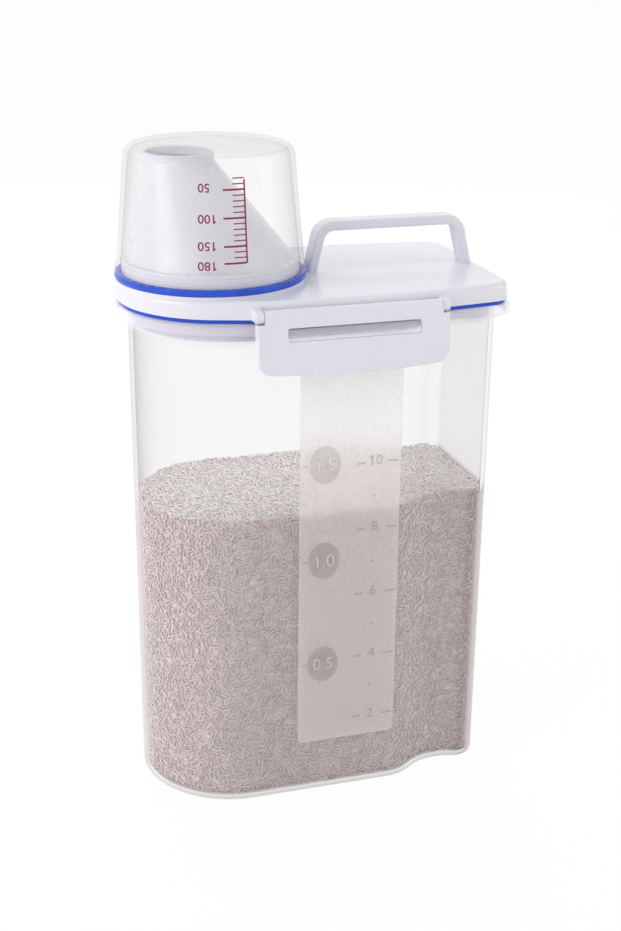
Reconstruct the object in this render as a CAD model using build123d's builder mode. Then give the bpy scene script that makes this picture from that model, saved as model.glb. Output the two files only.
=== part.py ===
import os
from math import acos, atan2, cos, degrees, radians, sin, tan

from build123d import *

os.makedirs("parts", exist_ok=True)

# Container seen from above: round pouring end, straight sides, waisted grip end
body_half_width = 42.7
round_end_x = -34.5
waist_half_width = 32.2
waist_x = 60.4
shoulder_radius = 20.0
waist_radius = 24.0
flare_angle = 20.0
end_corner = 9.0

# Container seen from the side
body_height = 231.0
draft = 0.32
wall = 2.0
floor_thickness = 2.8
base_fillet = 3.5
foot_width = 6.0
foot_recess = 0.8

# Rim seen from above: round end, straight seats for the latches, rounded corners
rim_shift = 3.2
rim_overhang = 4.1
seat_overhang = 9.6
seat_blend = 26.0
end_overhang = 3.82
corner_drop = 4.8
rim_corner = 12.0
rim_depth = 5.0
flange_thickness = 2.2
lip_thickness = 1.8
bead_fillet = 1.6

# Level strip on the front wall
strip_x = 9.5
strip_width = 47.0
strip_bottom = 27.0
strip_top_gap = 13.0
strip_corner = 2.0
strip_thickness = 0.4

# Lid
lid_gap = 1.9
lid_height = 7.6
lid_inset = 1.2
lid_draft = 5.0
lid_fillet = 2.4
lid_panel = 2.2
plug_depth = 9.0
plug_wall = 1.6
plug_clearance = 0.6

# Seal between lid and rim, in a channel under the lid edge
channel_inset = 2.2
channel_width = 2.4
channel_wall = 1.4
channel_depth = 2.1
seal_clearance = 0.15

# Collar and seal seat, on the upright axis of the cup
collar_radius = 38.9
collar_wall = 2.0
collar_height = 8.0
throat_radius = 32.0
seat_rise = 1.2
seat_step = 0.3
seal_inset = 0.75
seal_width = 3.0
seal_height = 2.7
seal_edge = 0.8

# Measuring cup, which stands upside down on its seal
cup_height = 54.6
cup_wall = 1.8
cup_bead = 0.9
cup_bead_height = 2.8
cup_bead_edge = 0.7
cup_taper = 4.6
cup_mouth_relief = 0.4
cup_fillet = 5.0

# Spout
spout_lean = 13.65
spout_wall = 1.7
spout_clearance = 0.2
spout_flange_step = 0.4
spout_flange_height = 1.5
spout_tip_radius = 15.3
spout_lip = 3.7
spout_tip_gap = 1.0

# Latches: barrel along the top, window for the rib of the rim
latch_x = 6.0
latch_width = 85.0
latch_drop = 26.0
latch_sag = 2.0
latch_thickness = 2.0
latch_corner = 6.0
latch_return = 2.2
latch_return_wall = 1.4
latch_rest = 4.0
latch_edge = 0.7
barrel_radius = 2.7
hinge_reach = 1.9
hinge_rise = 4.5
pin_radius = 1.25
pin_clearance = 0.05
pin_end_gap = 0.2
pin_cover = 0.6
ear_width = 3.0
ear_gap = 0.25
ear_room = 3.0
ear_step = 0.1
ear_root = 10.0
window_width = 59.0
window_height = 6.0
window_drop = 7.9
window_corner = 1.0

# Locking rib of the rim
rib_side_gap = 1.0
rib_play = 0.4
rib_height = 4.4
rib_bite = 0.55

# Carrying handle
handle_gap = 1.25
handle_inset = 4.9
handle_height = 22.6
handle_depth = 9.4
handle_strap = 4.3
handle_splay = 77.0
handle_bend = 9.0
handle_edge = 1.1
tongue_width = 6.0
tongue_thickness = 2.4
tongue_depth = 4.5
tongue_clearance = 0.1
socket_wall = 1.2

# Heights that follow from the sizes above
slope = tan(radians(draft))
strip_top = body_height - strip_top_gap
lid_edge = body_height + lid_gap
lid_top = lid_edge + lid_height
panel_bottom = lid_top - lid_panel
channel_top = lid_edge + channel_depth
seal_seat = lid_top + seat_rise
mouth = seal_seat + seal_height
cup_end = mouth + cup_height
ceiling = cup_end - cup_wall
collar_top = lid_top + collar_height
spout_base = collar_top + spout_flange_height
spout_tip = ceiling - spout_tip_gap
spout_neck = spout_tip - spout_lip
handle_top = lid_top + handle_height
hinge_z = body_height + hinge_rise
rib_bottom = hinge_z - window_drop - window_height / 2 + rib_play

# Places in plan that follow from the sizes above
flare = radians(flare_angle)
body_end_x = waist_x + waist_radius * sin(flare) + end_corner * (1 + sin(flare))
rim_round_x = round_end_x - rim_shift
rim_round = body_half_width + rim_overhang
rim_end_x = body_end_x + end_overhang
seat_half_width = body_half_width + seat_overhang
rim_end_half_width = seat_half_width - corner_drop
seat_length = window_width - 2 * rib_side_gap
seal_inner_radius = collar_radius + spout_clearance
seal_radius = collar_radius + seal_width
cup_x = rim_round_x - rim_round + seal_inset + seal_radius
cup_neck_radius = seal_radius - cup_bead
cup_end_radius = cup_neck_radius - cup_taper
skirt_radius = collar_radius - collar_wall - spout_clearance
spout_x = cup_x - spout_lean
hinge_y = seat_half_width + hinge_reach
rib_tip = hinge_y + barrel_radius - latch_thickness + rib_bite
half_latch = latch_width / 2
ear_start = half_latch - ear_width
half_barrel = ear_start - ear_gap
pin_hole_end = half_latch - pin_cover
pin_end = pin_hole_end - pin_end_gap
handle_left = cup_x + seal_radius + handle_gap
handle_right = rim_end_x - handle_inset
handle_feet = ((handle_left + handle_strap / 2, 0), (handle_right - handle_strap / 2, 0))
socket_length = tongue_thickness + 2 * tongue_clearance
socket_width = tongue_width + 2 * tongue_clearance
socket_bottom = lid_top - tongue_depth - tongue_clearance


def body_plan(grow):
    half = body_half_width + grow
    waist = waist_half_width + grow
    convex = shoulder_radius + grow
    concave = waist_radius - grow
    corner = end_corner + grow
    bend = acos(1 - (half - waist) / (convex + concave))
    shoulder_x = waist_x - (convex + concave) * sin(bend)
    dip = (shoulder_x + convex * sin(bend), half - convex * (1 - cos(bend)))
    crest = (waist_x + concave * sin(flare), waist + concave * (1 - cos(flare)))
    end = (crest[0] + corner * (1 + sin(flare)), crest[1] - corner * cos(flare))
    with BuildSketch() as plan:
        with BuildLine():
            nose = CenterArc((round_end_x, 0), half, 180, -90)
            side = Line(nose @ 1, (shoulder_x, half))
            shoulder = TangentArc(side @ 1, dip, tangent=side % 1)
            grip = TangentArc(dip, crest, tangent=shoulder % 1)
            TangentArc(crest, end, tangent=grip % 1)
            Line(end, (end[0], 0))
            mirror(about=Plane.XZ)
        make_face()
    return plan.sketch


def rim_plan(inset):
    seat_y = seat_half_width - seat_blend
    centres = [
        Vector(rim_round_x, 0),
        Vector(latch_x - seat_length / 2, seat_y),
        Vector(latch_x + seat_length / 2, seat_y),
        Vector(rim_end_x - rim_corner, rim_end_half_width - rim_corner),
    ]
    radii = [rim_round, seat_blend, seat_blend, rim_corner]
    with BuildSketch() as plan:
        with BuildLine():
            turn = 180.0
            for i in range(3):
                span = centres[i + 1] - centres[i]
                lean = atan2(span.Y, span.X) + acos((radii[i] - radii[i + 1]) / span.length)
                normal = Vector(cos(lean), sin(lean))
                CenterArc(centres[i], radii[i] - inset, turn, degrees(lean) - turn)
                leave = centres[i] + normal * (radii[i] - inset)
                Line(leave, centres[i + 1] + normal * (radii[i + 1] - inset))
                turn = degrees(lean)
            CenterArc(centres[3], rim_corner - inset, turn, -turn)
            Line((rim_end_x - inset, centres[3].Y), (rim_end_x - inset, 0))
            mirror(about=Plane.XZ)
        make_face()
    return plan.sketch


# Container body: drafted vessel, flange with a turned-down bead, ribs for the latches
with BuildPart() as container_body:
    with BuildSketch(Plane.XY):
        add(body_plan(0))
    extrude(amount=body_height, taper=-draft)
    fillet(container_body.edges().group_by(Axis.Z)[0], base_fillet)
    with BuildSketch(Plane.XY.offset(body_height - flange_thickness)):
        add(rim_plan(0))
    extrude(amount=flange_thickness)
    with BuildSketch(Plane.XY.offset(body_height - rim_depth)):
        add(rim_plan(0))
        add(rim_plan(lip_thickness), mode=Mode.SUBTRACT)
    extrude(amount=rim_depth - flange_thickness)
    fillet(container_body.faces().sort_by(Axis.Z)[-1].outer_wire().edges(), bead_fillet)
    lip_face = container_body.faces().filter_by(Plane.XY).group_by(Axis.Z)[1].face()
    fillet(lip_face.outer_wire().edges(), bead_fillet)
    with BuildSketch(Plane.XY.offset(floor_thickness)):
        add(body_plan(floor_thickness * slope - wall))
    extrude(amount=body_height - floor_thickness + 1, taper=-draft, mode=Mode.SUBTRACT)
    with BuildSketch(Plane.XY):
        add(body_plan(-foot_width))
    extrude(amount=foot_recess, mode=Mode.SUBTRACT)
    with BuildSketch(Plane.YZ.offset(latch_x - seat_length / 2)):
        with BuildLine():
            root = seat_half_width - lip_thickness / 2
            Polyline(
                (-root, rib_bottom),
                (-rib_tip, rib_bottom),
                (-rib_tip, rib_bottom + rib_height / 2),
                (-rib_tip + rib_height / 4, rib_bottom + rib_height),
                (-root, rib_bottom + rib_height),
                close=True,
            )
        make_face()
        mirror(about=Plane.YZ)
    extrude(amount=seat_length)
container_body.part.label = "container_body"
export_step(container_body.part, "parts/container_body.step")

# Level strip: thin film that follows the front wall
with BuildPart() as scale_strip:
    with BuildSketch(Plane.XY):
        add(body_plan(strip_thickness))
    extrude(amount=strip_top, taper=-draft)
    with BuildSketch(Plane.XY):
        add(body_plan(0))
    extrude(amount=strip_top + 1, taper=-draft, mode=Mode.SUBTRACT)
    with BuildSketch(Plane.XZ):
        with Locations((strip_x, (strip_top + strip_bottom) / 2)):
            RectangleRounded(strip_width, strip_top - strip_bottom, strip_corner)
    extrude(amount=seat_half_width, mode=Mode.INTERSECT)
scale_strip.part.label = "scale_strip"
export_step(scale_strip.part, "parts/scale_strip.step")

# Lid: cap with a seal channel, a plug wall in the mouth, a collar and hinge ears
with BuildPart() as lid:
    with BuildSketch(Plane.XY.offset(lid_edge)):
        add(rim_plan(lid_inset))
    with BuildSketch(Plane.XY.offset(lid_top)):
        add(rim_plan(lid_inset + (lid_top - lid_edge) * tan(radians(lid_draft))))
    loft(ruled=True)
    fillet(lid.faces().sort_by(Axis.Z)[-1].outer_wire().edges(), lid_fillet)
    with BuildSketch(Plane.XY.offset(channel_top)):
        with Locations((cup_x, 0)):
            Circle(seal_radius - seat_step)
    extrude(amount=seal_seat - channel_top)
    ear_radius = barrel_radius - ear_step
    for ear_x in (latch_x - half_latch, latch_x + ear_start):
        with BuildSketch(Plane.YZ.offset(ear_x)):
            with Locations((-hinge_y, hinge_z)):
                Circle(ear_radius)
            with Locations((-hinge_y, hinge_z)):
                Rectangle(ear_root, 2 * ear_radius, align=(Align.MIN, Align.CENTER))
            mirror(about=Plane.YZ)
        extrude(amount=ear_width)
    with BuildSketch(Plane.XY.offset(lid_edge)):
        add(rim_plan(channel_inset + channel_width + channel_wall))
    extrude(amount=panel_bottom - lid_edge, mode=Mode.SUBTRACT)
    with BuildSketch(Plane.XY.offset(socket_bottom - socket_wall)):
        with Locations(*handle_feet):
            Rectangle(socket_length + 2 * socket_wall, socket_width + 2 * socket_wall)
    extrude(amount=panel_bottom - socket_bottom + socket_wall)
    with BuildSketch(Plane.XY.offset(lid_edge)):
        add(rim_plan(channel_inset))
        add(rim_plan(channel_inset + channel_width), mode=Mode.SUBTRACT)
    extrude(amount=channel_top - lid_edge, mode=Mode.SUBTRACT)
    plug_grow = body_height * slope - wall - plug_clearance
    with BuildSketch(Plane.XY.offset(body_height - plug_depth)):
        add(body_plan(plug_grow))
        add(body_plan(plug_grow - plug_wall), mode=Mode.SUBTRACT)
    extrude(amount=panel_bottom - body_height + plug_depth)
    with BuildSketch(Plane.XY.offset(panel_bottom)):
        with Locations((cup_x, 0)):
            Circle(collar_radius)
    extrude(amount=collar_top - panel_bottom)
    with BuildSketch(Plane.XY.offset(lid_top)):
        with Locations((cup_x, 0)):
            Circle(collar_radius - collar_wall)
    extrude(amount=collar_height, mode=Mode.SUBTRACT)
    with BuildSketch(Plane.XY.offset(panel_bottom)):
        with Locations((cup_x, 0)):
            Circle(throat_radius)
    extrude(amount=lid_panel, mode=Mode.SUBTRACT)
    with BuildSketch(Plane.YZ.offset(latch_x)):
        with Locations((-hinge_y, hinge_z), (hinge_y, hinge_z)):
            Circle(pin_radius + pin_clearance)
    extrude(amount=pin_hole_end, both=True, mode=Mode.SUBTRACT)
    with BuildSketch(Plane.XY.offset(socket_bottom)):
        with Locations(*handle_feet):
            Rectangle(socket_length, socket_width)
    extrude(amount=lid_top - socket_bottom, mode=Mode.SUBTRACT)
lid.part.label = "lid"
export_step(lid.part, "parts/lid.step")

# Seal between lid and rim
with BuildPart() as lid_gasket:
    with BuildSketch(Plane.XY.offset(body_height)):
        add(rim_plan(channel_inset + seal_clearance))
        add(rim_plan(channel_inset + channel_width - seal_clearance), mode=Mode.SUBTRACT)
    extrude(amount=channel_top - body_height)
lid_gasket.part.label = "lid_gasket"
export_step(lid_gasket.part, "parts/lid_gasket.step")

# Spout: skirt in the collar, flange on the collar, leaning funnel, short round lip
with BuildPart() as pouring_spout:
    with BuildSketch(Plane.XY.offset(lid_top)):
        with Locations((cup_x, 0)):
            Circle(skirt_radius)
    extrude(amount=spout_base - lid_top)
    with BuildSketch(Plane.XY.offset(collar_top)):
        with Locations((cup_x, 0)):
            Circle(collar_radius - spout_flange_step)
    extrude(amount=spout_flange_height)
    with BuildSketch(Plane.XY.offset(spout_base)):
        with Locations((cup_x, 0)):
            Circle(skirt_radius)
    with BuildSketch(Plane.XY.offset(spout_neck)):
        with Locations((spout_x, 0)):
            Circle(spout_tip_radius)
    loft(ruled=True)
    with BuildSketch(Plane.XY.offset(spout_neck)):
        with Locations((spout_x, 0)):
            Circle(spout_tip_radius)
    extrude(amount=spout_lip)
    with BuildSketch(Plane.XY.offset(lid_top)):
        with Locations((cup_x, 0)):
            Circle(skirt_radius - spout_wall)
    extrude(amount=spout_base - lid_top, mode=Mode.SUBTRACT)
    with BuildSketch(Plane.XY.offset(spout_base)):
        with Locations((cup_x, 0)):
            Circle(skirt_radius - spout_wall)
    with BuildSketch(Plane.XY.offset(spout_neck)):
        with Locations((spout_x, 0)):
            Circle(spout_tip_radius - spout_wall)
    loft(ruled=True, mode=Mode.SUBTRACT)
    with BuildSketch(Plane.XY.offset(spout_neck)):
        with Locations((spout_x, 0)):
            Circle(spout_tip_radius - spout_wall)
    extrude(amount=spout_lip, mode=Mode.SUBTRACT)
    fillet(pouring_spout.faces().sort_by(Axis.Z)[-1].edges(), spout_wall * 0.4)
pouring_spout.part.label = "pouring_spout"
export_step(pouring_spout.part, "parts/pouring_spout.step")

# Seal ring under the cup
cup_plane = Plane(origin=(cup_x, 0, 0), x_dir=(1, 0, 0), z_dir=(0, -1, 0))
cup_axis = Axis((cup_x, 0, 0), (0, 0, 1))
with BuildPart() as cup_gasket:
    with BuildSketch(cup_plane):
        with Locations((seal_inner_radius, seal_seat)):
            Rectangle(seal_radius - seal_inner_radius, seal_height, align=(Align.MIN, Align.MIN))
        fillet(vertices().group_by(Axis.X)[-1], seal_edge)
    revolve(axis=cup_axis)
cup_gasket.part.label = "cup_gasket"
export_step(cup_gasket.part, "parts/cup_gasket.step")

# Measuring cup
with BuildPart() as measuring_cup:
    with BuildSketch(cup_plane):
        with BuildLine():
            Polyline(
                (0, ceiling),
                (cup_end_radius - cup_wall, ceiling),
                (cup_neck_radius - cup_wall + cup_mouth_relief, mouth),
                (seal_radius, mouth),
                (seal_radius, mouth + cup_bead_height),
                (cup_neck_radius, mouth + cup_bead_height),
                (cup_end_radius, cup_end),
                (0, cup_end),
                close=True,
            )
        make_face()
        fillet(vertices().sort_by_distance((cup_end_radius, cup_end))[0], cup_fillet)
        fillet(vertices().sort_by_distance((cup_end_radius - cup_wall, ceiling))[0], cup_fillet - cup_wall)
        fillet(vertices().sort_by_distance((seal_radius, mouth + cup_bead_height))[0], cup_bead_edge)
        fillet(vertices().sort_by_distance((seal_radius, mouth))[0], cup_bead_edge)
    revolve(axis=cup_axis)
measuring_cup.part.label = "measuring_cup"
export_step(measuring_cup.part, "parts/measuring_cup.step")

# Carrying handle: splayed strap with a tongue at each foot, pressed into its socket
handle_x = (handle_left + handle_right) / 2
handle_length = handle_right - handle_left
with BuildPart() as carry_handle:
    with BuildSketch(Plane.XZ):
        with Locations((handle_x, lid_top)):
            Trapezoid(handle_length, handle_top - lid_top, handle_splay, align=(Align.CENTER, Align.MIN))
        fillet(vertices().group_by(Axis.Y)[-1], handle_bend)
        leg = handle_strap / sin(radians(handle_splay))
        with BuildSketch(mode=Mode.SUBTRACT):
            with Locations((handle_x, lid_top)):
                Trapezoid(
                    handle_length - 2 * leg,
                    handle_top - handle_strap - lid_top,
                    handle_splay,
                    align=(Align.CENTER, Align.MIN),
                )
            fillet(vertices().group_by(Axis.Y)[-1], handle_bend - handle_strap)
    extrude(amount=handle_depth / 2, both=True)
    long_edges = carry_handle.faces().filter_by(Axis.Y).edges()
    fillet(long_edges.filter_by(lambda edge: edge.center().Z > lid_top + handle_edge), handle_edge)
    with BuildSketch(Plane.XY.offset(lid_top)):
        with Locations(*handle_feet):
            Rectangle(tongue_thickness, tongue_width)
    extrude(amount=-tongue_depth)
carry_handle.part.label = "carry_handle"
export_step(carry_handle.part, "parts/carry_handle.step")

# Latch on its hinge plane: x along the pin, y up the plate, z outward
lean = radians(latch_rest)
hinge = Plane(origin=(latch_x, -hinge_y, hinge_z), x_dir=(1, 0, 0), z_dir=(0, -cos(lean), sin(lean)))
with BuildPart() as front_latch:
    with BuildSketch(hinge.offset(barrel_radius - latch_thickness)):
        with BuildLine():
            Polyline(
                (-half_latch, latch_sag - latch_drop),
                (-half_latch, -ear_room),
                (-half_barrel, -ear_room),
                (-half_barrel, 0),
                (half_barrel, 0),
                (half_barrel, -ear_room),
                (half_latch, -ear_room),
                (half_latch, latch_sag - latch_drop),
            )
            ThreePointArc(
                (half_latch, latch_sag - latch_drop),
                (0, -latch_drop),
                (-half_latch, latch_sag - latch_drop),
            )
        make_face()
        fillet(vertices().group_by(Axis.Y)[0], latch_corner)
        with Locations((0, -window_drop)):
            RectangleRounded(window_width, window_height, window_corner, mode=Mode.SUBTRACT)
    extrude(amount=latch_thickness)
    plate_face = front_latch.faces().sort_by(Axis(hinge.origin, hinge.z_dir))[-1]
    outline = plate_face.outer_wire().edges().filter_by(Axis.X, reverse=True)
    fillet(outline.filter_by(lambda edge: edge.length > ear_room + latch_edge), latch_edge)
    for span, radius in ((half_barrel, barrel_radius), (pin_end, pin_radius)):
        with BuildSketch(Plane(hinge.origin, x_dir=hinge.y_dir, z_dir=hinge.x_dir)):
            Circle(radius)
        extrude(amount=span, both=True)
    with BuildSketch(hinge.offset(barrel_radius - latch_thickness)):
        return_x = half_latch - latch_return_wall / 2
        return_height = latch_drop - latch_sag - latch_corner - ear_room
        with Locations((return_x, -ear_room), (-return_x, -ear_room)):
            Rectangle(latch_return_wall, return_height, align=(Align.CENTER, Align.MAX))
    extrude(amount=-latch_return)
front_latch.part.label = "front_latch"
export_step(front_latch.part, "parts/front_latch.step")

# The same latch on the far side
with BuildPart() as rear_latch:
    add(front_latch.part.rotate(Axis((latch_x, 0, 0), (0, 0, 1)), 180))
rear_latch.part.label = "rear_latch"
export_step(rear_latch.part, "parts/rear_latch.step")
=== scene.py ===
import bisect
import itertools
import math
import random

import bmesh
import bpy
from mathutils import Matrix, Vector
from mathutils.bvhtree import BVHTree


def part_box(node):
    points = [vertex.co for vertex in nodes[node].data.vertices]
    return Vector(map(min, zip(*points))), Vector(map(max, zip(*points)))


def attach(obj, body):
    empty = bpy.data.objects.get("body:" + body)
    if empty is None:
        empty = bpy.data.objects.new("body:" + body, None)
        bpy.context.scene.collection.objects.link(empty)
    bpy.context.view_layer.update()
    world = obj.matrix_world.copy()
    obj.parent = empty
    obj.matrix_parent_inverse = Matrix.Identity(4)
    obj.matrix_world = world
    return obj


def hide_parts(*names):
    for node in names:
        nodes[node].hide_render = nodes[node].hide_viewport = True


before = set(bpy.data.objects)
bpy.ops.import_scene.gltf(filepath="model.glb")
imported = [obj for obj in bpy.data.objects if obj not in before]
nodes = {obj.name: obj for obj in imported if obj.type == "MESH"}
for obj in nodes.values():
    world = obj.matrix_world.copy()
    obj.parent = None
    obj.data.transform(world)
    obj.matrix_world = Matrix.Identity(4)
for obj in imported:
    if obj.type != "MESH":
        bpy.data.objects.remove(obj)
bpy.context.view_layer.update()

# Container body: one drafted vessel, injection moulded in clear plastic 2 mm thick, with a bead
# turned down round its rim. The plastic is faintly hazy, so edges seen along the wall turn grey,
# and slow ripples from the mould run up it.
rice_level = 0.1415
grip_corner = 0.069
# How far along the wall the view goes where its haze starts and where it is whole.
full_slants = (0.42, 0.74)
empty_slants = (0.0, 1.0)
corner_lead = 0.32
soft_change = 0.003
noise_span = (0.3, 0.7)
whole_span = (0.0, 1.0)
# Heights with the haze's tone and milkiness: the very bottom is painted dark, as painted shade along
# the base's edge, and up to the rice level the haze is painted in the rice's tone, standing in for the
# rice seen through the thick wall and floor.
wall_zones = (
    (0.0, (0.30, 0.30, 0.32), 0.6),
    (0.0009, (0.58, 0.52, 0.515), 0.62),
    (0.0030, (0.60, 0.54, 0.535), 0.62),
    (0.0050, (0.56, 0.50, 0.495), 0.06),
    (0.138, (0.56, 0.50, 0.495), 0.06),
    (0.145, (0.46, 0.40, 0.42), 0.06),
    (0.220, (0.46, 0.40, 0.42), 0.06),
    (0.2225, (0.82, 0.79, 0.88), 0.45),
    (0.231, (0.82, 0.79, 0.88), 0.45),
)


def new_finish(name):
    finish = bpy.data.materials.new(name)
    finish.use_nodes = True
    return finish, finish.node_tree, finish.node_tree.nodes["Principled BSDF"]


def wear(piece, finish):
    piece.data.materials.clear()
    piece.data.materials.append(finish)


def add_place(tree):
    """The point of the surface, as its three coordinates."""
    place = tree.nodes.new("ShaderNodeTexCoord")
    split = tree.nodes.new("ShaderNodeSeparateXYZ")
    tree.links.new(place.outputs["Object"], split.inputs["Vector"])
    return split.outputs


def add_noise(tree, scale, detail=3.0, stretch=(1.0, 1.0, 1.0)):
    place = tree.nodes.new("ShaderNodeTexCoord")
    mapping = tree.nodes.new("ShaderNodeMapping")
    mapping.inputs["Scale"].default_value = stretch
    noise = tree.nodes.new("ShaderNodeTexNoise")
    noise.inputs["Scale"].default_value = scale
    noise.inputs["Detail"].default_value = detail
    tree.links.new(place.outputs["Object"], mapping.inputs["Vector"])
    tree.links.new(mapping.outputs["Vector"], noise.inputs["Vector"])
    return noise.outputs["Fac"]


def add_range(tree, source, span, ends):
    """Carries a value over from its span to two ends, and holds it there past them."""
    reach = tree.nodes.new("ShaderNodeMapRange")
    for socket, limit in zip(("From Min", "From Max", "To Min", "To Max"), (*span, *ends)):
        reach.inputs[socket].default_value = limit
    tree.links.new(source, reach.inputs["Value"])
    return reach


def spread(tree, source, low, high):
    """Carries the span that a noise mostly keeps to over to a span of its own."""
    return add_range(tree, source, noise_span, (low, high)).outputs["Result"]


def combine(tree, operation, first, second):
    """One step of arithmetic on two values, each a plain number or a node's output."""
    step = tree.nodes.new("ShaderNodeMath")
    step.operation = operation
    for socket, value in zip(step.inputs, (first, second)):
        if isinstance(value, float):
            socket.default_value = value
        else:
            tree.links.new(value, socket)
    return step.outputs["Value"]


def mix_shaders(tree, share, first, second):
    """Gives the second shader this share, and the first one the rest."""
    mix = tree.nodes.new("ShaderNodeMixShader")
    if isinstance(share, float):
        mix.inputs["Fac"].default_value = share
    else:
        tree.links.new(share, mix.inputs["Fac"])
    tree.links.new(first, mix.inputs[1])
    tree.links.new(second, mix.inputs[2])
    return mix.outputs["Shader"]


def add_bump(tree, shader, height, depth):
    bump = tree.nodes.new("ShaderNodeBump")
    bump.inputs["Strength"].default_value = 1.0
    bump.inputs["Distance"].default_value = depth
    tree.links.new(height, bump.inputs["Height"])
    tree.links.new(bump.outputs["Normal"], shader.inputs["Normal"])


def outer_share(tree, low, high, power):
    """A share of the outer face, low where it is looked at squarely and high along the face.

    Returns the node with the slants between which it grows, the node with its two ends, and the
    share itself.
    """
    slant = tree.nodes.new("ShaderNodeLayerWeight")
    slant.inputs["Blend"].default_value = 0.5
    growth = add_range(tree, slant.outputs["Facing"], whole_span, whole_span)
    steep = combine(tree, "POWER", growth.outputs["Result"], power)
    reach = add_range(tree, steep, whole_span, (low, high))
    side = tree.nodes.new("ShaderNodeNewGeometry")
    outer = combine(tree, "SUBTRACT", 1.0, side.outputs["Backfacing"])
    return growth, reach, combine(tree, "MULTIPLY", reach.outputs["Result"], outer)


def around(value):
    return value - soft_change, value + soft_change


def clear_plastic(name, zones, edge_haze, full_below=None, tight_corner=None):
    """Clear plastic in zones of height, each with the tone of its haze and how milky it is.

    Where it is full, the haze, painted in the tone of what it holds, reaches right up to its
    outline, standing in for what thick clear walls show, and starts soonest past the start of its
    tight corners.
    """
    finish, tree, shader = new_finish(name)
    place = add_place(tree)
    lowest, highest = zones[0][0], zones[-1][0]
    climb = add_range(tree, place["Z"], (lowest, highest), whole_span)
    tone = tree.nodes.new("ShaderNodeValToRGB")
    stops = tone.color_ramp.elements
    while len(stops) < len(zones):
        stops.new(0.5)
    for stop, (height, colour, haze) in zip(stops, zones):
        stop.position = (height - lowest) / (highest - lowest)
        stop.color = (*colour, haze)
    tree.links.new(climb.outputs["Result"], tone.inputs["Fac"])
    tree.links.new(tone.outputs["Color"], shader.inputs["Base Color"])
    shader.inputs["Specular IOR Level"].default_value = 0.3
    gloss = spread(tree, add_noise(tree, scale=60.0), low=0.12, high=0.3)
    tree.links.new(gloss, shader.inputs["Roughness"])
    ripples = add_noise(tree, scale=45.0, detail=1.0, stretch=(1.0, 1.0, 0.35))
    add_bump(tree, shader, ripples, depth=0.0001)
    growth, reach, haze_share = outer_share(tree, low=0.0, high=edge_haze, power=3.2)
    tree.links.new(tone.outputs["Alpha"], reach.inputs["To Min"])
    tree.links.new(haze_share, shader.inputs["Alpha"])
    if full_below is not None:
        for end, full, empty in zip(("From Min", "From Max"), full_slants, empty_slants):
            snug = add_range(tree, place["X"], around(tight_corner), (full, full - corner_lead))
            filled = add_range(tree, place["Z"], around(full_below), (full, empty))
            tree.links.new(snug.outputs["Result"], filled.inputs["To Min"])
            tree.links.new(filled.outputs["Result"], growth.inputs[end])
    mirror = tree.nodes.new("ShaderNodeBsdfGlossy")
    mirror.inputs["Roughness"].default_value = 0.06
    mirror_share = outer_share(tree, low=0.015, high=0.16, power=4.0)[-1]
    skin = mix_shaders(tree, mirror_share, shader.outputs["BSDF"], mirror.outputs["BSDF"])
    tree.links.new(skin, tree.nodes["Material Output"].inputs["Surface"])
    return finish


clear_wall = clear_plastic("clear_wall", wall_zones, edge_haze=0.88,
                           full_below=rice_level, tight_corner=grip_corner)
wear(nodes["container_body"], clear_wall)

# Level strip: a thin frosted film bonded to the front wall, milky over the rice and faintly grey
# above it. Its ovals give the weight inside and its short bars with numbers the portions, all
# printed in grey. The film and its print are painted darker, in the rice's tone, below the rice
# level and painted lighter above it, as painted backlight.
film_low, film_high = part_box("scale_strip")
film_gap = 0.00006
film_thickness = 0.0003
film_corner = 0.002
near_corner = 0.0001
same_point = 0.000001
print_depth = -0.075
# Heights over which print goes from its painted darker tone to its painted backlit tone.
painted_light_turn = (0.150, 0.182)
glow_share = 0.2
straight_share = 0.45
ink_gap = 0.00003
oval_ink_gap = 0.00015
ink_thickness = 0.00006
row_count = 5
row_height = 0.0316
first_row = 0.0369
left_bar = (0.0126, 0.0164)
right_bar = (0.0270, 0.0318)
bar_height = 0.0007
number_x = 0.0212
number_rise = 0.001
number_height = 0.0047
dot_shift = 0.0004
dot_half = (0.0005, 0.0005)
oval_x = -0.0023
oval_half = (0.0073, 0.0088)
oval_number_height = 0.0059
oval_number_weight = 0.006
tick_far = 0.0022
tick_near = 0.0004
tick_half = 0.0003
ovals = (("0.5", 0.0669), ("1.0", 0.1184), ("1.5", 0.1642))
flag_size = (0.24, 0.1, 1.0)
flag_tilt = math.radians(38)
flag_left = 0.03
flag_down = 0.115


def deselect():
    if bpy.context.mode != "OBJECT":
        bpy.ops.object.mode_set(mode="OBJECT")
    bpy.ops.object.select_all(action="DESELECT")


def take_up(piece):
    deselect()
    piece.select_set(True)
    bpy.context.view_layer.objects.active = piece


def add_sheet(x_range, z_range, columns, rows):
    """A flat upright grid in front of the container, facing the viewer."""
    deselect()
    bpy.ops.mesh.primitive_grid_add(x_subdivisions=columns, y_subdivisions=rows, size=1.0)
    sheet = bpy.context.object
    sheet.scale = (x_range[1] - x_range[0], z_range[1] - z_range[0], 1.0)
    sheet.rotation_euler = (math.radians(90), 0.0, 0.0)
    sheet.location = (sum(x_range) / 2, print_depth, sum(z_range) / 2)
    bpy.ops.object.transform_apply(location=True, rotation=True, scale=True)
    return sheet


def add_oval(x, z, half):
    deselect()
    bpy.ops.mesh.primitive_circle_add(vertices=64, radius=1.0, fill_type="TRIFAN")
    oval = bpy.context.object
    oval.scale = (half[0], half[1], 1.0)
    oval.rotation_euler = (math.radians(90), 0.0, 0.0)
    oval.location = (x, print_depth, z)
    bpy.ops.object.transform_apply(location=True, rotation=True, scale=True)
    return oval


def join_marks(name, marks):
    deselect()
    for mark in marks:
        mark.select_set(True)
    bpy.context.view_layer.objects.active = marks[0]
    bpy.ops.object.join()
    marks[0].name = name
    marks[0].data.name = name
    return marks[0]


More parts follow.
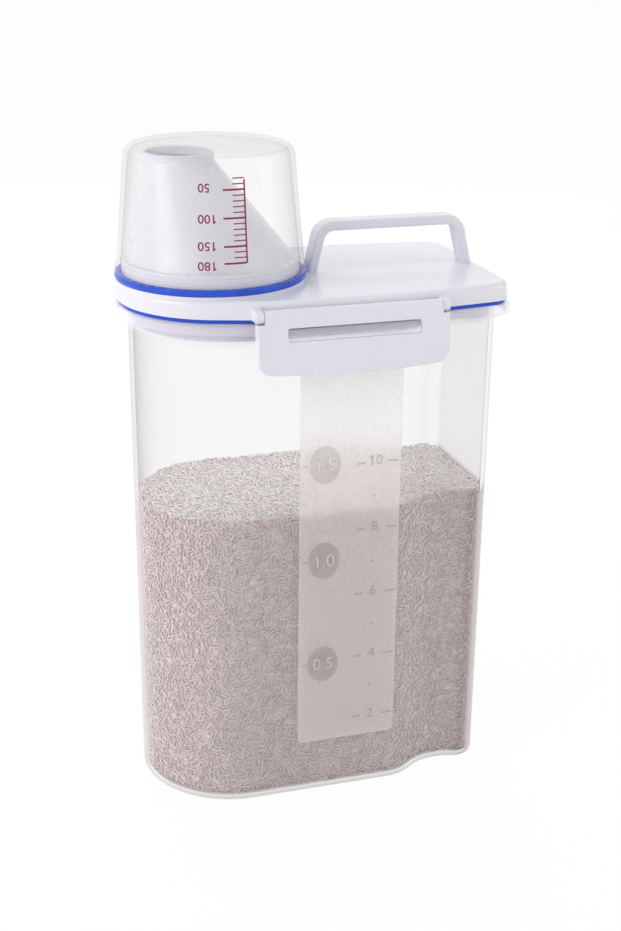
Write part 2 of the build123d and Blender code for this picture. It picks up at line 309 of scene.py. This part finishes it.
def add_number(words, x, z, height, weight=0.0, width=None, turned=False):
    """A number made a flat mesh, brought to its height and, where given, its width.

    A leading 1 gets a slanted flag at its top, because the lettering has it as a bare stroke.
    """
    deselect()
    bpy.ops.object.text_add()
    bpy.context.object.data.body = words
    bpy.context.object.data.resolution_u = 4
    bpy.context.object.data.offset = weight
    bpy.ops.object.convert(target="MESH")
    number = bpy.context.object
    if words.startswith("1"):
        left = min(vert.co.x for vert in number.data.vertices)
        top = max(vert.co.y for vert in number.data.vertices)
        bpy.ops.mesh.primitive_grid_add(x_subdivisions=2, y_subdivisions=1, size=1.0)
        flag = bpy.context.object
        flag.scale = flag_size
        flag.rotation_euler = (0.0, 0.0, flag_tilt)
        flag.location = (left - flag_left, top - flag_down, 0.0)
        bpy.ops.object.transform_apply(location=True, rotation=True, scale=True)
        join_marks(number.name, [number, flag])
    corners = [vert.co for vert in number.data.vertices]
    low = Vector(min(c[i] for c in corners) for i in range(3))
    high = Vector(max(c[i] for c in corners) for i in range(3))
    number.data.transform(Matrix.Translation(-(low + high) / 2))
    tall = height / (high.y - low.y)
    number.scale = (width / (high.x - low.x) if width else tall, tall, 1.0)
    number.rotation_euler = (math.radians(90), math.radians(180) if turned else 0.0, 0.0)
    number.location = (x, print_depth, z)
    bpy.ops.object.transform_apply(location=True, rotation=True, scale=True)
    bpy.ops.object.mode_set(mode="EDIT")
    bpy.ops.mesh.select_all(action="SELECT")
    bpy.ops.mesh.remove_doubles(threshold=same_point)
    bpy.ops.mesh.subdivide(number_cuts=1)
    bpy.ops.object.mode_set(mode="OBJECT")
    return number


def lay_on(sheet, target, lift, thickness):
    """Presses a flat sheet against the target and gives it its thickness."""
    wrap = sheet.modifiers.new("lay", "SHRINKWRAP")
    wrap.target = target
    wrap.wrap_method = "PROJECT"
    wrap.use_project_y = True
    wrap.use_positive_direction = True
    wrap.use_negative_direction = False
    wrap.offset = lift
    skin = sheet.modifiers.new("skin", "SOLIDIFY")
    skin.thickness = thickness
    skin.offset = 1.0
    take_up(sheet)
    bpy.ops.object.modifier_apply(modifier="lay")
    bpy.ops.object.modifier_apply(modifier="skin")
    return sheet


def two_tones(tree, source, span, first, second):
    """A colour that goes from the first tone to the second over a span of the value."""
    ramp = tree.nodes.new("ShaderNodeValToRGB")
    for stop, position, colour in zip(ramp.color_ramp.elements, span, (first, second)):
        stop.position = position
        stop.color = (*colour, 1.0)
    tree.links.new(source, ramp.inputs["Fac"])
    return ramp.outputs["Color"]


def painted_light_by_height(tree, low_colour, high_colour):
    """Print painted darker, in the rice's tone, below its level and lighter above, as backlight."""
    climb = add_range(tree, add_place(tree)["Z"], painted_light_turn, whole_span)
    return two_tones(tree, climb.outputs["Result"], whole_span, low_colour, high_colour)


def frosted(name, low_colour, high_colour, cover):
    """Milky print: part of the light passes, clear or blurred, the rest is scattered both ways."""
    finish, tree, shader = new_finish(name)
    shader.inputs["Roughness"].default_value = 0.55
    glow = tree.nodes.new("ShaderNodeBsdfTranslucent")
    mottle = tree.nodes.new("ShaderNodeHueSaturation")
    cloud = spread(tree, add_noise(tree, scale=650.0, detail=2.0), low=0.93, high=1.06)
    # Its colour is painted by height: darker over the rice, lighter above it as painted backlight.
    tree.links.new(painted_light_by_height(tree, low_colour, high_colour), mottle.inputs["Color"])
    tree.links.new(cloud, mottle.inputs["Value"])
    tree.links.new(mottle.outputs["Color"], shader.inputs["Base Color"])
    tree.links.new(mottle.outputs["Color"], glow.inputs["Color"])
    milk = mix_shaders(tree, glow_share, shader.outputs["BSDF"], glow.outputs["BSDF"])
    blur = tree.nodes.new("ShaderNodeBsdfRefraction")
    blur.inputs["Roughness"].default_value = 0.45
    blur.inputs["IOR"].default_value = 1.15
    unblurred = tree.nodes.new("ShaderNodeBsdfTransparent")
    path = tree.nodes.new("ShaderNodeLightPath")
    straight = combine(tree, "MAXIMUM", path.outputs["Is Shadow Ray"], straight_share)
    clear = mix_shaders(tree, straight, blur.outputs["BSDF"], unblurred.outputs["BSDF"])
    speckle = add_noise(tree, scale=900.0, detail=2.0)
    veil = spread(tree, speckle, low=0.75 * cover, high=1.25 * cover)
    film = mix_shaders(tree, veil, clear, milk)
    tree.links.new(film, tree.nodes["Material Output"].inputs["Surface"])
    return finish


def ink(name, low_colour, high_colour=None):
    """Dry print of one colour, or of two: painted darker over the rice, lighter above it."""
    finish, tree, shader = new_finish(name)
    if high_colour is None:
        shader.inputs["Base Color"].default_value = (*low_colour, 1.0)
    else:
        tree.links.new(painted_light_by_height(tree, low_colour, high_colour), shader.inputs["Base Color"])
    dryness = spread(tree, add_noise(tree, scale=1500.0, detail=2.0), low=0.4, high=0.65)
    tree.links.new(dryness, shader.inputs["Roughness"])
    return finish


level_film = add_sheet((film_low.x, film_high.x), (film_low.z, film_high.z), columns=20, rows=80)
level_film.name = "level_film"
level_film.data.name = "level_film"
film_ends = itertools.product((film_low.x, film_high.x), (film_low.z, film_high.z))
film_corners = [Vector((x, print_depth, z)) for x, z in film_ends]
bpy.ops.object.mode_set(mode="EDIT")
bpy.ops.mesh.select_mode(type="VERT")
bpy.ops.mesh.select_all(action="DESELECT")
bpy.ops.object.mode_set(mode="OBJECT")
for vert in level_film.data.vertices:
    vert.select = min((vert.co - corner).length for corner in film_corners) < near_corner
bpy.ops.object.mode_set(mode="EDIT")
bpy.ops.mesh.bevel(offset=film_corner, segments=5, affect="VERTICES")
bpy.ops.object.mode_set(mode="OBJECT")
lay_on(level_film, nodes["container_body"], film_gap, film_thickness)
# Film painted in the rice's tone below the rice level and painted lighter above, as backlight.
wear(level_film, frosted("frosted_print", (0.88, 0.81, 0.80), (0.99, 0.97, 0.965), cover=0.4))
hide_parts("scale_strip")
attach(level_film, "container")

level_bars = []
for row in range(row_count):
    bar_z = first_row + row * row_height
    edges = (bar_z - bar_height / 2, bar_z + bar_height / 2)
    level_bars.append(add_sheet(left_bar, edges, columns=4, rows=1))
    level_bars.append(add_sheet(right_bar, edges, columns=6, rows=1))
    level_bars.append(add_number(str(2 * row + 2), number_x, bar_z + number_rise, number_height))
    if row < row_count - 1:
        level_bars.append(add_oval(number_x - dot_shift, bar_z + row_height / 2, dot_half))
for words, oval_z in ovals:
    tick = (oval_x - oval_half[0] - tick_far, oval_x - oval_half[0] - tick_near)
    level_bars.append(add_sheet(tick, (oval_z - tick_half, oval_z + tick_half), columns=2, rows=1))
level_marks = lay_on(join_marks("level_marks", level_bars), level_film, ink_gap, ink_thickness)
# Bars and numbers painted darker over the rice and lighter above it, as painted backlight.
wear(level_marks, ink("grey_ink", (0.44, 0.405, 0.40), (0.60, 0.57, 0.57)))
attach(level_marks, "container")

oval_marks = [add_oval(oval_x, oval_z, oval_half) for words, oval_z in ovals]
weight_ovals = join_marks("weight_ovals", oval_marks)
lay_on(weight_ovals, level_film, ink_gap, ink_thickness)
# Ovals painted darker over the rice and lighter above it, as painted backlight.
wear(weight_ovals, frosted("grey_oval_ink", (0.47, 0.425, 0.42), (0.70, 0.67, 0.665), cover=0.24))
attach(weight_ovals, "container")

oval_numbers = []
for words, oval_z in ovals:
    oval_numbers.append(add_number(words, oval_x, oval_z, oval_number_height, oval_number_weight))
weight_numbers = join_marks("weight_numbers", oval_numbers)
lay_on(weight_numbers, level_film, oval_ink_gap, ink_thickness)
# Weight numbers painted darker over the rice and lighter above it, as painted backlight.
wear(weight_numbers, ink("pale_ink", (0.60, 0.56, 0.555), (0.95, 0.94, 0.94)))
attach(weight_numbers, "container")

# Rice: the dry content that the container is shown with, filled to about three fifths. A solid
# heart in the tones of the grains fills the middle, and single long grains lie against the walls
# and over the top. The grains on top and the heart's upward faces wear a lighter copy of the rice,
# painted light where the top of the rice catches more light.
heart_gap = 0.0014
heart_drop = 0.0019
under_floor = 0.0026
spine_x = (-0.0345, 0.066)
spine_z = (0.03, 0.2)
inward_share = 0.2
up = Vector((0.0, 0.0, 1.0))
grain_length = 0.0036
grain_width = 0.00105
grain_flatness = 0.85
grain_tip = 0.93
grain_spacing = 0.00135
grain_room = 0.0004
wall_tries = 130000
wall_lean = 0.12
wall_lift = (0.0001, 0.0005)
wall_drop = 0.0006
nearly_upright = 0.3
top_count = 26000
top_x = (-0.08, 0.08)
top_y = (-0.045, 0.045)
top_sink = (0.0007, 0.0011)
wave_height = 0.0003
long_wave = (95.0, 1.0)
cross_wave = (140.0, 60.0)
top_room = 0.0011
top_lean = 0.08
low_grain_top = 0.0055
facing_up = 0.9
rice_seed = 7331

wall_mesh = bmesh.new()
wall_mesh.from_mesh(nodes["container_body"].data)
bmesh.ops.remove_doubles(wall_mesh, verts=wall_mesh.verts, dist=same_point)
wall_mesh.verts.index_update()
cavity = bmesh.new()
shared = {}
for face in wall_mesh.faces:
    centre = face.calc_center_median()
    middle_x = min(max(centre.x, spine_x[0]), spine_x[1])
    middle_z = min(max(centre.z, spine_z[0]), spine_z[1])
    inward = Vector((middle_x, 0.0, middle_z)) - centre
    low = min(vert.co.z for vert in face.verts)
    if under_floor < low < rice_level and face.normal.dot(inward) > inward_share * inward.length:
        for vert in face.verts:
            if vert.index not in shared:
                shared[vert.index] = cavity.verts.new(vert.co)
        cavity.faces.new([shared[vert.index] for vert in face.verts])
cavity.normal_update()
wall_tree = BVHTree.FromBMesh(cavity)
rice_heart = bpy.data.objects.new("rice_heart", bpy.data.meshes.new("rice_heart"))
cavity.to_mesh(rice_heart.data)
bpy.context.scene.collection.objects.link(rice_heart)
cavity.free()
wall_mesh.free()


def cut_above(height):
    bpy.ops.object.mode_set(mode="EDIT")
    bpy.ops.mesh.select_all(action="SELECT")
    bpy.ops.mesh.bisect(plane_co=(0.0, 0.0, height), plane_no=up, clear_outer=True)


take_up(rice_heart)
cut_above(rice_level)
bpy.ops.object.mode_set(mode="OBJECT")
rice_heart.data.calc_loop_triangles()
patches = []
patch_areas = []
for patch in rice_heart.data.loop_triangles:
    corners = [rice_heart.data.vertices[i].co.copy() for i in patch.vertices]
    patches.append((corners, patch.normal.copy()))
    patch_areas.append(patch.area)
patch_reach = list(itertools.accumulate(patch_areas))

cut_above(rice_level - heart_drop)
bpy.ops.mesh.select_all(action="SELECT")
bpy.ops.transform.shrink_fatten(value=heart_gap, use_even_offset=True)
bpy.ops.mesh.select_all(action="DESELECT")
bpy.ops.mesh.select_mode(type="EDGE")
bpy.ops.mesh.select_non_manifold()
bpy.ops.mesh.fill()
bpy.ops.mesh.select_all(action="SELECT")
bpy.ops.mesh.normals_make_consistent(inside=False)
bpy.ops.object.mode_set(mode="OBJECT")
heart_mesh = bmesh.new()
heart_mesh.from_mesh(rice_heart.data)
if heart_mesh.calc_volume(signed=True) < 0.0:
    rice_heart.data.flip_normals()
heart_mesh.free()

deselect()
bpy.ops.mesh.primitive_uv_sphere_add(segments=4, ring_count=3, radius=0.5)
first_grain = bpy.context.object
first_grain.scale = (grain_width, grain_flatness * grain_width, grain_length)
first_grain.rotation_euler = (0.0, math.radians(90), 0.0)
bpy.ops.object.transform_apply(location=True, rotation=True, scale=True)
bpy.ops.object.mode_set(mode="EDIT")
bpy.ops.mesh.select_all(action="SELECT")
bpy.ops.mesh.quads_convert_to_tris()
bpy.ops.object.mode_set(mode="OBJECT")
grain_points = [vert.co.copy() for vert in first_grain.data.vertices]
grain_faces = [tuple(face.vertices) for face in first_grain.data.polygons]
bpy.data.objects.remove(first_grain)

draw = random.Random(rice_seed)


def thin_out(spots, spacing):
    """Keeps the spots that lie at least one spacing apart."""
    cells = {}
    kept = []
    steps = list(itertools.product((-1, 0, 1), repeat=3))
    for spot in spots:
        key = [math.floor(part / spacing) for part in spot[0]]
        around_it = (cells.get((key[0] + a, key[1] + b, key[2] + c), ()) for a, b, c in steps)
        others = itertools.chain.from_iterable(around_it)
        if all((other - spot[0]).length >= spacing for other in others):
            cells.setdefault(tuple(key), []).append(spot[0])
            kept.append(spot)
    return kept


def lay_grain(place, normal, along):
    """Turns a grain along the wall and moves it in until neither end cuts the wall."""
    across = normal.cross(along).normalized()
    turn = Matrix((along, across, along.cross(across))).transposed()
    for attempt in range(3):
        for reach in (-0.5, 0.5):
            tip = place + along * (reach * grain_tip * grain_length)
            near, facing = wall_tree.find_nearest(tip)[:2]
            room = (tip - near).dot(facing)
            if room < grain_room:
                place = place + facing * (grain_room - room)
    return turn, place, draw.random()


def pour(name, grains):
    points, faces, tones = [], [], []
    for turn, place, tone in grains:
        first = len(points)
        points.extend(turn @ point + place for point in grain_points)
        faces.extend(tuple(first + i for i in face) for face in grain_faces)
        tones.extend([tone] * len(grain_points))
    mesh = bpy.data.meshes.new(name)
    mesh.from_pydata(points, [], faces)
    mesh.attributes.new("grain_tone", "FLOAT", "POINT").data.foreach_set("value", tones)
    mesh.shade_smooth()
    pile = bpy.data.objects.new(name, mesh)
    bpy.context.scene.collection.objects.link(pile)
    return pile


wall_spots = []
for attempt in range(wall_tries):
    pick = bisect.bisect_left(patch_reach, draw.uniform(0.0, patch_reach[-1]))
    corners, normal = patches[pick]
    a, b = sorted((draw.random(), draw.random()))
    wall_spots.append((corners[0] * a + corners[1] * (b - a) + corners[2] * (1.0 - b), normal))
wall_grains = []
for place, normal in thin_out(wall_spots, grain_spacing):
    level_way = up.cross(normal)
    if level_way.length < nearly_upright:
        level_way = Vector((1.0, 0.0, 0.0))
    heading = draw.uniform(0.0, math.pi)
    along = Matrix.Rotation(heading, 3, normal) @ level_way.normalized()
    along = (along + normal * draw.gauss(0.0, wall_lean)).normalized()
    place = place + normal * (grain_width / 2 + draw.uniform(*wall_lift))
    place.z = min(place.z, rice_level - wall_drop - 0.5 * grain_length * abs(along.z))
    wall_grains.append(lay_grain(place, normal, along))

top_spots = []
while len(top_spots) < top_count:
    x = draw.uniform(*top_x)
    y = draw.uniform(*top_y)
    wave = wave_height * math.sin(long_wave[0] * x + long_wave[1])
    wave += wave_height * math.sin(cross_wave[0] * y + cross_wave[1] * x)
    place = Vector((x, y, rice_level + wave - draw.uniform(*top_sink)))
    near, facing = wall_tree.find_nearest(place)[:2]
    if (place - near).dot(facing) > top_room:
        top_spots.append((place, up))
top_grains = []
for place, normal in thin_out(top_spots, grain_spacing):
    heading = draw.uniform(0.0, math.pi)
    along = Vector((math.cos(heading), math.sin(heading), draw.gauss(0.0, top_lean))).normalized()
    side = along.cross(normal).normalized()
    top_grains.append(lay_grain(place, side.cross(along), along))

low_grains = [grain for grain in wall_grains if grain[1].z < low_grain_top]
high_grains = [grain for grain in wall_grains if grain[1].z >= low_grain_top]
front_rice = pour("rice_front", [grain for grain in high_grains if grain[1].y < 0.0])
rear_rice = pour("rice_rear", [grain for grain in high_grains if grain[1].y >= 0.0])
low_rice = pour("rice_low", low_grains)
top_rice = pour("rice_top", top_grains)


def grain_skin(name, dull, plain, bright):
    """Satin rice skin with a fine texture, each grain in its own tone."""
    finish, tree, shader = new_finish(name)
    shader.inputs["Roughness"].default_value = 0.5
    own_tone = tree.nodes.new("ShaderNodeAttribute")
    own_tone.attribute_name = "grain_tone"
    ramp = tree.nodes.new("ShaderNodeValToRGB")
    ramp.color_ramp.elements[0].color = (*dull, 1.0)
    ramp.color_ramp.elements[1].color = (*bright, 1.0)
    ramp.color_ramp.elements.new(0.5).color = (*plain, 1.0)
    tree.links.new(own_tone.outputs["Fac"], ramp.inputs["Fac"])
    tree.links.new(ramp.outputs["Color"], shader.inputs["Base Color"])
    add_bump(tree, shader, add_noise(tree, scale=2400.0), depth=0.0001)
    return finish


wall_grain = grain_skin("rice_grain", (0.72, 0.63, 0.62), (0.80, 0.705, 0.695), (0.87, 0.785, 0.775))
# A lighter copy of the rice for the top grains: painted light on the upward surface of the rice.
painted_lit_grain = grain_skin("rice_painted_lit_top", (0.91, 0.87, 0.845), (0.94, 0.90, 0.88), (0.96, 0.93, 0.91))
grain_finishes = (wall_grain, wall_grain, wall_grain, painted_lit_grain)
for pile, finish in zip((front_rice, rear_rice, low_rice, top_rice), grain_finishes):
    wear(pile, finish)
    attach(pile, "container")

heart_finish, tree, shader = new_finish("rice_shade")
shader.inputs["Roughness"].default_value = 0.8
heart_grain = add_noise(tree, scale=420.0, detail=2.0)
heart_tone = two_tones(tree, heart_grain, (0.35, 0.65), (0.71, 0.625, 0.615), (0.84, 0.75, 0.74))
tree.links.new(heart_tone, shader.inputs["Base Color"])
add_bump(tree, shader, heart_grain, depth=0.0003)
wear(rice_heart, heart_finish)
# The heart's upward faces take the painted-light copy of the rice too.
rice_heart.data.materials.append(painted_lit_grain)
for face in rice_heart.data.polygons:
    face.material_index = int(face.normal.z > facing_up)
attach(rice_heart, "container")

# Lid: glossy white plastic, moulded in one piece with the collar for the cup, the ears for the
# latches and the plug wall that drops into the mouth. It presses the blue seal on the rim.
white_shade = 0.965


def white_plastic(name, colour, roughness, grain_scale, grain_depth):
    """Moulded white, faintly cloudy, with a fine grain from the mould."""
    finish, tree, shader = new_finish(name)
    shade = [white_shade * part for part in colour]
    clouds = add_noise(tree, scale=28.0, detail=4.0)
    tree.links.new(two_tones(tree, clouds, noise_span, shade, colour), shader.inputs["Base Color"])
    gloss = spread(tree, add_noise(tree, scale=140.0), *roughness)
    tree.links.new(gloss, shader.inputs["Roughness"])
    add_bump(tree, shader, add_noise(tree, grain_scale, detail=2.0), grain_depth)
    return finish


white_lid = white_plastic("white_lid", (0.77, 0.76, 0.82), (0.14, 0.24),
                          grain_scale=700.0, grain_depth=0.000012)
wear(nodes["lid"], white_lid)

# Lid seal: a soft blue silicone ring, pressed into the channel under the lid's edge, and seen as
# a thin blue line between the lid and the rim.
blue_shade = 0.82


def silicone(name, colour):
    """Satin rubber with darker clouds and a very fine grain."""
    finish, tree, shader = new_finish(name)
    shade = [blue_shade * part for part in colour]
    clouds = add_noise(tree, scale=90.0)
    tree.links.new(two_tones(tree, clouds, noise_span, shade, colour), shader.inputs["Base Color"])
    shader.inputs["Specular IOR Level"].default_value = 0.25
    gloss = spread(tree, add_noise(tree, scale=300.0), low=0.18, high=0.3)
    tree.links.new(gloss, shader.inputs["Roughness"])
    add_bump(tree, shader, add_noise(tree, scale=1600.0, detail=2.0), depth=0.00002)
    return finish


blue_seal = silicone("blue_seal", (0.022, 0.095, 0.65))
wear(nodes["lid_gasket"], blue_seal)

# Pouring spout: a leaning white funnel, moulded on its own. Its skirt goes down into the lid's
# collar, its flange lies on the collar inside the cup seal, and it ends in a short round lip.
white_spout = white_plastic("white_spout", (0.78, 0.775, 0.825), (0.2, 0.32),
                            grain_scale=500.0, grain_depth=0.00001)
wear(nodes["pouring_spout"], white_spout)

# Cup seal: a thicker blue silicone ring on the collar, which the cup stands on.
# It is moulded in the same blue as the lid seal and shows all round under the cup's bead.
wear(nodes["cup_gasket"], blue_seal)

# Measuring cup: a thin clear tumbler that stands upside down over the spout and holds 180 ml.
# Its crimson scale is printed on the outside, so it reads right when the cup is turned over.
cup_x = -0.04185
cup_low = 0.2472
cup_high = 0.299
cup_low_radius = 0.0410
cup_high_radius = 0.0364
cup_content = 180
scale_low = 0.2555
scale_high = 0.2895
ml_height = 0.0002308
line_half = 0.00035
line_angle = 8.2
short_tick_angle = 0.4
short_tick_half = 0.00025
long_tick_angle = -5.8
long_tick_half = 0.0004
cup_number_height = 0.0037
cup_number_weight = 0.012
cup_ink_gap = 0.00004
cup_numbers = (("50", -21.3, -14.0, 0.28635), ("100", -21.3, -10.1, 0.2738),
               ("150", -21.4, -10.4, 0.2627), ("180", -21.4, -10.3, 0.25455))
cup_zones = (
    (0.2444, (0.48, 0.46, 0.49), 0.05),
    (0.2976, (0.48, 0.45, 0.46), 0.05),
    (0.2983, (0.56, 0.58, 0.56), 0.34),
    (0.2988, (0.50, 0.50, 0.49), 0.05),
    (0.299, (0.50, 0.50, 0.49), 0.05),
)
wear(nodes["measuring_cup"], clear_plastic("clear_cup", cup_zones, edge_haze=0.75))


def cup_place(angle, z):
    """Where a mark at this angle stands on the cup, seen straight from the front."""
    rise = (z - cup_low) / (cup_high - cup_low)
    radius = cup_low_radius + rise * (cup_high_radius - cup_low_radius)
    return cup_x + radius * math.sin(math.radians(angle))


cup_marks = []
line_low = cup_place(line_angle, scale_low)
line_high = cup_place(line_angle, scale_high)
scale_bar = add_sheet((-line_half, line_half), (scale_low, scale_high), columns=1, rows=24)
for vert in scale_bar.data.vertices:
    vert.co.x += line_low + (line_high - line_low) * (vert.co.z - scale_low) / (scale_high - scale_low)
cup_marks.append(scale_bar)
for amount in range(30, cup_content + 1, 10):
    tick_z = scale_low + (cup_content - amount) * ml_height
    numbered = amount in (50, 100, 150, 180)
    half_height = long_tick_half if numbered else short_tick_half
    tick_angle = long_tick_angle if numbered else short_tick_angle
    reach = (cup_place(tick_angle, tick_z), cup_place(line_angle, tick_z))
    cup_marks.append(add_sheet(reach, (tick_z - half_height, tick_z + half_height), columns=8, rows=1))
for words, left, right, z in cup_numbers:
    reach = (cup_place(left, z), cup_place(right, z))
    cup_marks.append(add_number(words, sum(reach) / 2, z, cup_number_height, cup_number_weight,
                                width=reach[1] - reach[0], turned=True))
cup_scale = join_marks("cup_scale", cup_marks)
lay_on(cup_scale, nodes["measuring_cup"], cup_ink_gap, ink_thickness)
wear(cup_scale, ink("crimson_ink", (0.25, 0.008, 0.055)))
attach(cup_scale, "cup")

# Carrying handle: a flat white strap, moulded as a low bridge with splayed legs, whose tongues
# are pressed into sockets of the lid. Its colour is set a shade greyer than the lid's, as painted
# shade on the strap's faces turned from the light.
# The greyer white is painted shade, not a different plastic.
white_handle = white_plastic("white_handle", (0.74, 0.73, 0.795), (0.2, 0.3),
                             grain_scale=600.0, grain_depth=0.00001)
wear(nodes["carry_handle"], white_handle)

# Latches: two flaps moulded in white plastic that hang on pins in the lid's ears. Each has a long
# window that clicks over the rib of the rim.
white_latch = white_plastic("white_latch", (0.77, 0.765, 0.83), (0.18, 0.28),
                            grain_scale=650.0, grain_depth=0.000012)
wear(nodes["front_latch"], white_latch)
wear(nodes["rear_latch"], white_latch)

# Stage: a wide pale floor, a white surround and three large soft lamps, as in a product studio.
# The floor and the surround look white to the camera, and the floor keeps the shadow.
floor_size = 16.0
floor_drop = -0.0002
paper_share = 0.95
bright_side = (-0.86, -0.05, 0.50)
lamp_aim = Vector((0.0, 0.0, 0.15))
lamp_size = 1.2


def seen_straight(tree, share):
    """Gives a share to the rays that show the surround, straight, mirrored or through plastic."""
    path = tree.nodes.new("ShaderNodeLightPath")
    shown = combine(tree, "MAXIMUM", path.outputs["Is Camera Ray"], path.outputs["Is Glossy Ray"])
    shown = combine(tree, "MAXIMUM", shown, path.outputs["Is Transmission Ray"])
    return combine(tree, "MULTIPLY", shown, share)


deselect()
bpy.ops.mesh.primitive_plane_add(size=floor_size, location=(0.0, 0.0, floor_drop))
floor = bpy.context.object
floor.name = "floor"
floor_finish, tree, shader = new_finish("pale_floor")
shader.inputs["Base Color"].default_value = (0.94, 0.94, 0.94, 1.0)
shader.inputs["Roughness"].default_value = 0.9
shader.inputs["Specular IOR Level"].default_value = 0.0
paper = tree.nodes.new("ShaderNodeEmission")
paper.inputs["Strength"].default_value = 1.0
paper_seen = seen_straight(tree, paper_share)
seen = mix_shaders(tree, paper_seen, shader.outputs["BSDF"], paper.outputs["Emission"])
tree.links.new(seen, tree.nodes["Material Output"].inputs["Surface"])
wear(floor, floor_finish)

surround = bpy.data.worlds.new("studio")
bpy.context.scene.world = surround
surround.use_nodes = True
tree = surround.node_tree
dome = tree.nodes["Background"]
dome.inputs["Strength"].default_value = 0.88
white = tree.nodes.new("ShaderNodeBackground")
white.inputs["Color"].default_value = (1.0, 1.0, 1.0, 1.0)
white.inputs["Strength"].default_value = 1.0
sky = tree.nodes.new("ShaderNodeTexCoord")
towards = tree.nodes.new("ShaderNodeVectorMath")
towards.operation = "DOT_PRODUCT"
towards.inputs[1].default_value = bright_side
tree.links.new(sky.outputs["Generated"], towards.inputs[0])
swell = add_range(tree, towards.outputs["Value"], (-1.0, 1.0), whole_span)
shade = two_tones(tree, swell.outputs["Result"], whole_span, (0.23, 0.23, 0.235), (1.0, 1.0, 1.0))
tree.links.new(shade, dome.inputs["Color"])
white_seen = seen_straight(tree, 1.0)
both = mix_shaders(tree, white_seen, dome.outputs["Background"], white.outputs["Background"])
tree.links.new(both, tree.nodes["World Output"].inputs["Surface"])


def add_lamp(name, place, power, mirrored):
    lamp = bpy.data.objects.new(name, bpy.data.lights.new(name, "AREA"))
    lamp.data.shape = "DISK"
    lamp.data.size = lamp_size
    lamp.data.energy = power
    lamp.location = place
    lamp.rotation_mode = "QUATERNION"
    lamp.rotation_quaternion = (lamp_aim - Vector(place)).to_track_quat("-Z", "Y")
    lamp.visible_camera = False
    lamp.visible_glossy = mirrored
    bpy.context.scene.collection.objects.link(lamp)


add_lamp("key_lamp", (-1.45, -0.4, 0.95), power=10.5, mirrored=True)
add_lamp("fill_lamp", (1.5, -0.7, 0.7), power=8.0, mirrored=True)
add_lamp("back_lamp", (0.1, 1.2, 0.9), power=9.5, mirrored=False)

# Camera: a little to the left of the front and higher than the cup, looking down at the object
# from the photograph's angle.
swing, pitch, roll = (math.radians(angle) for angle in (-17.66, 20.22, 0.53))
aim = Vector((0.00484, 0.0, 0.1477))
stand_off = 0.7398
back = Vector((math.sin(swing) * math.cos(pitch), -math.cos(swing) * math.cos(pitch), math.sin(pitch)))
level_side = Vector((math.cos(swing), math.sin(swing), 0.0))
upright = back.cross(level_side)
side = math.cos(roll) * level_side + math.sin(roll) * upright
rise = math.cos(roll) * upright - math.sin(roll) * level_side
camera = bpy.data.objects.new("camera", bpy.data.cameras.new("camera"))
camera.data.lens = 61.26
camera.data.sensor_width = 36.0
camera.data.dof.use_dof = False
turn = Matrix((side, rise, back)).transposed().to_4x4()
camera.matrix_world = Matrix.Translation(aim + back * stand_off) @ turn
bpy.context.scene.collection.objects.link(camera)
bpy.context.scene.camera = camera
bpy.context.scene.view_settings.view_transform = "Standard"
# The walls, the film and the cup lie many deep, so more see-through layers are followed.
bpy.context.scene.cycles.transparent_max_bounces = 24
